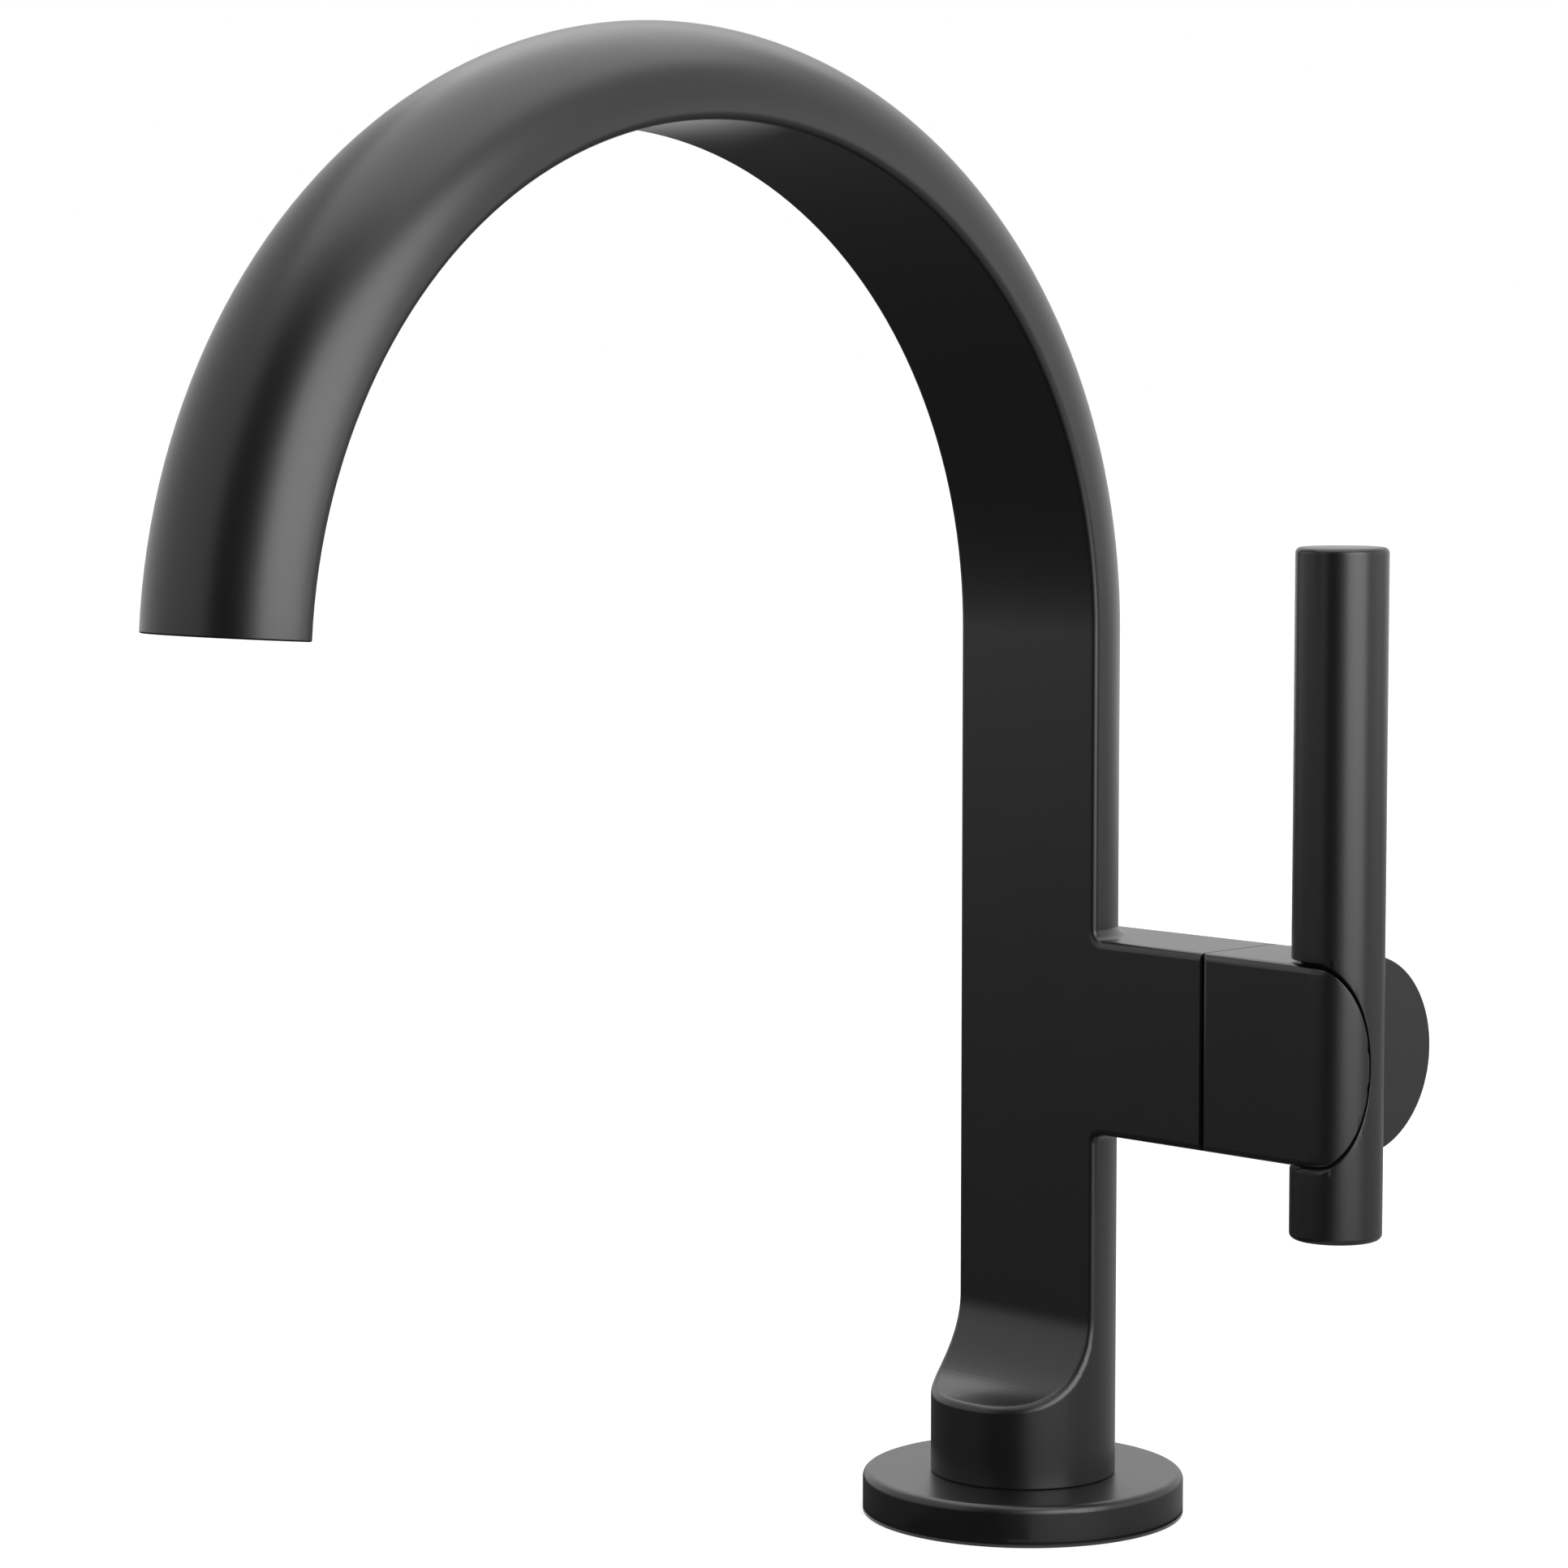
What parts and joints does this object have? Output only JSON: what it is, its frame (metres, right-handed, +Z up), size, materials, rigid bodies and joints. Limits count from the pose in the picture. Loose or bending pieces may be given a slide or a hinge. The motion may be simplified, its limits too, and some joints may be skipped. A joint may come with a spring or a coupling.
{
  "type": "single-lever basin mixer",
  "caption": "Matte black deck-mounted basin tap with a half-round gooseneck spout and an upright bar handle on a side hub.",
  "frame": {"origin": "centre of the base flange's underside, on the worktop under the column's axis", "axes": "+Z up, +X towards the handle (the user's right), -Y towards the user and the spout's mouth; the column's flat front lies in y = 0"},
  "size_m": [0.0981, 0.2153, 0.2986],
  "materials": {
    "matte_black": "matte black coating on cast and turned brass, finely satin",
    "brass": "machined, unplated",
    "steel": "stainless, lightly brushed",
    "copper": "drawn copper tube",
    "black_rubber": "moulded EPDM",
    "black_plastic": "moulded acetal",
    "white_plastic": "moulded or extruded, natural white",
    "grey_plastic": "moulded, grey",
    "ceramic": "lapped alumina"
  },
  "bodies": {
    "tap": {"spout_body": "matte_black", "base_flange": "matte_black", "base_gasket": "black_rubber", "mounting_shank": "brass", "deck_washer": "black_rubber", "clamp_washer": "steel", "mounting_nut": "brass", "inlet_block": "brass", "cold_tube": "copper", "hot_tube": "copper", "outlet_tube": "white_plastic", "aerator_housing": "grey_plastic", "aerator_screen": "white_plastic", "aerator_seal": "black_rubber", "cartridge_base": "grey_plastic", "port_seals": "black_rubber", "fixed_disc": "ceramic", "cartridge_body": "white_plastic", "stop_ring": "grey_plastic", "retaining_nut": "brass", "glide_ring": "black_plastic"},
    "handle": {"moving_disc": "ceramic", "disc_carrier": "grey_plastic", "cartridge_stem": "brass", "stem_seals": "black_rubber", "handle_hub": "matte_black", "handle_bar": "matte_black", "bar_screws": "steel", "grub_screw": "steel", "screw_cap": "black_plastic"}
  },
  "joints": [
    {"name": "handle_turn", "type": "hinge", "parent": "tap", "child": "handle", "pos_m": [0.0399, 0.0177, 0.0837], "axis": [1, 0, 0], "range_deg": [0, 100]}
  ]
}
